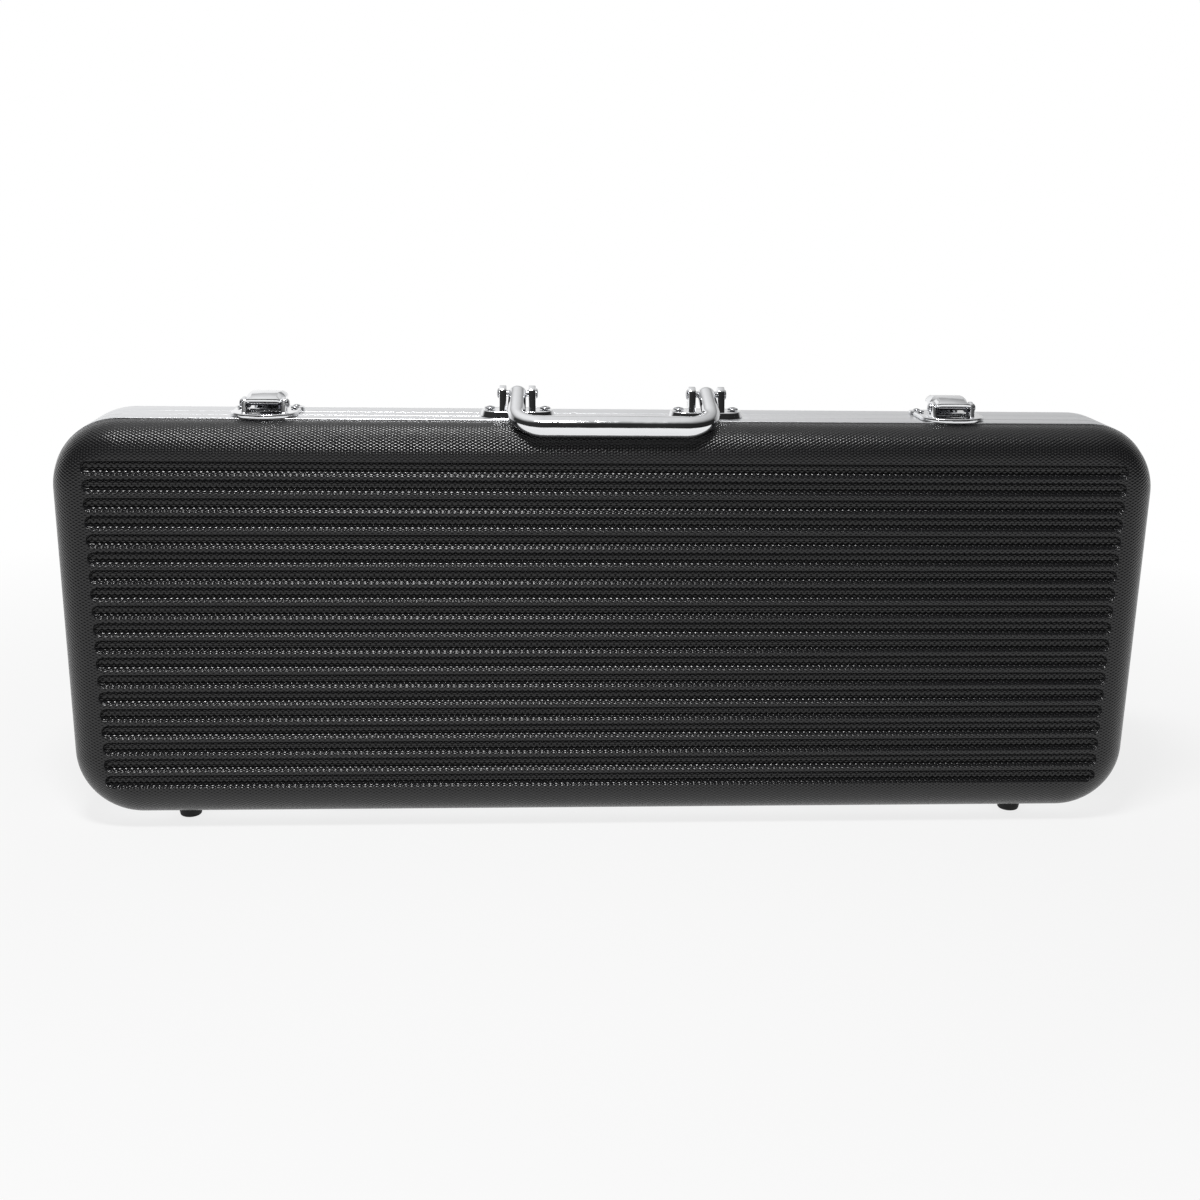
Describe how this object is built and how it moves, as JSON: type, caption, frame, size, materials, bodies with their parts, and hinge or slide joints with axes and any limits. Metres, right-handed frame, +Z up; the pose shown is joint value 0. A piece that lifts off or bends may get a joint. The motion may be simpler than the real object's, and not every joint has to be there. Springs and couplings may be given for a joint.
{
  "type": "poker chip case",
  "caption": "Long hard case for poker chips: ribbed black plastic shells in aluminium frames, chrome swing handle, two toggle latches, rear-hinged lid, chip trays inside.",
  "frame": {"origin": "centre of the bounding box at the undersides of the feet, on the surface the case stands on", "axes": "+X along the case to the viewer's right, +Y from the ribbed front (the base half) to the lid, +Z up to the handle"},
  "size_m": [0.56, 0.0749, 0.2314],
  "materials": {
    "black_abs": "moulded black ABS with a fine raised weave texture, satin",
    "satin_aluminium": "extruded and anodised, satin",
    "chrome_plate": "polished chrome plate",
    "plated_steel": "bright plated steel",
    "black_rubber": "matt black rubber",
    "flocked_tray": "thermoformed sheet with black flock",
    "velvet_pad": "foam pad covered in black velvet"
  },
  "bodies": {
    "base": {"accessory_tray": "flocked_tray", "base_foot_left": "black_rubber", "base_foot_right": "black_rubber", "base_foot_screw_left": "plated_steel", "base_foot_screw_right": "plated_steel", "base_frame": "satin_aluminium", "base_shell": "black_abs", "chip_tray_left": "flocked_tray", "chip_tray_right": "flocked_tray", "handle_bracket_left": "chrome_plate", "handle_bracket_right": "chrome_plate", "handle_pin_left": "plated_steel", "handle_pin_right": "plated_steel", "handle_screw_left_left": "plated_steel", "handle_screw_left_right": "plated_steel", "handle_screw_right_left": "plated_steel", "handle_screw_right_right": "plated_steel", "hinge_base_leaf_left": "plated_steel", "hinge_base_leaf_right": "plated_steel", "hinge_base_rivet_left_left": "plated_steel", "hinge_base_rivet_left_right": "plated_steel", "hinge_base_rivet_right_left": "plated_steel", "hinge_base_rivet_right_right": "plated_steel", "hinge_pin_left": "plated_steel", "hinge_pin_right": "plated_steel", "latch_base_left": "chrome_plate", "latch_base_right": "chrome_plate", "latch_rivet_left_left": "plated_steel", "latch_rivet_left_right": "plated_steel", "latch_rivet_right_left": "plated_steel", "latch_rivet_right_right": "plated_steel", "lever_pin_left": "plated_steel", "lever_pin_right": "plated_steel"},
    "lid": {"catch_left": "chrome_plate", "catch_right": "chrome_plate", "catch_screw_left_left": "plated_steel", "catch_screw_left_right": "plated_steel", "catch_screw_right_left": "plated_steel", "catch_screw_right_right": "plated_steel", "hinge_lid_leaf_left": "plated_steel", "hinge_lid_leaf_right": "plated_steel", "hinge_lid_rivet_left_left": "plated_steel", "hinge_lid_rivet_left_right": "plated_steel", "hinge_lid_rivet_right_left": "plated_steel", "hinge_lid_rivet_right_right": "plated_steel", "lid_foot_left": "black_rubber", "lid_foot_right": "black_rubber", "lid_foot_screw_left": "plated_steel", "lid_foot_screw_right": "plated_steel", "lid_frame": "satin_aluminium", "lid_pad": "velvet_pad", "lid_shell": "black_abs"},
    "handle": {"handle_bail": "chrome_plate"},
    "lever_left": {"lever_left": "chrome_plate", "claw_pin_left": "plated_steel"},
    "claw_left": {"claw_left": "plated_steel"},
    "lever_right": {"lever_right": "chrome_plate", "claw_pin_right": "plated_steel"},
    "claw_right": {"claw_right": "plated_steel"}
  },
  "joints": [
    {"name": "lid_hinge", "type": "hinge", "parent": "base", "child": "lid", "pos_m": [0, 0.00606, 0.0033], "axis": [-1, 0, 0], "range_deg": [0, 100]},
    {"name": "handle_hinge", "type": "hinge", "parent": "base", "child": "handle", "pos_m": [0, -0.00294, 0.2274], "axis": [-1, 0, 0], "range_deg": [0, 210]},
    {"name": "lever_left_hinge", "type": "hinge", "parent": "base", "child": "lever_left", "pos_m": [-0.1753, -0.00594, 0.222], "axis": [1, 0, 0], "range_deg": [0, 95]},
    {"name": "claw_left_hinge", "type": "hinge", "parent": "lever_left", "child": "claw_left", "pos_m": [-0.1753, 0.00106, 0.2228], "axis": [1, 0, 0], "range_deg": [-38, 0]},
    {"name": "lever_right_hinge", "type": "hinge", "parent": "base", "child": "lever_right", "pos_m": [0.1753, -0.00594, 0.222], "axis": [1, 0, 0], "range_deg": [0, 95]},
    {"name": "claw_right_hinge", "type": "hinge", "parent": "lever_right", "child": "claw_right", "pos_m": [0.1753, 0.00106, 0.2228], "axis": [1, 0, 0], "range_deg": [-38, 0]}
  ],
  "couplings": [
    {"joint": "claw_left_hinge", "follows": "lever_left_hinge", "ratio": -0.4},
    {"joint": "claw_right_hinge", "follows": "lever_right_hinge", "ratio": -0.4}
  ]
}
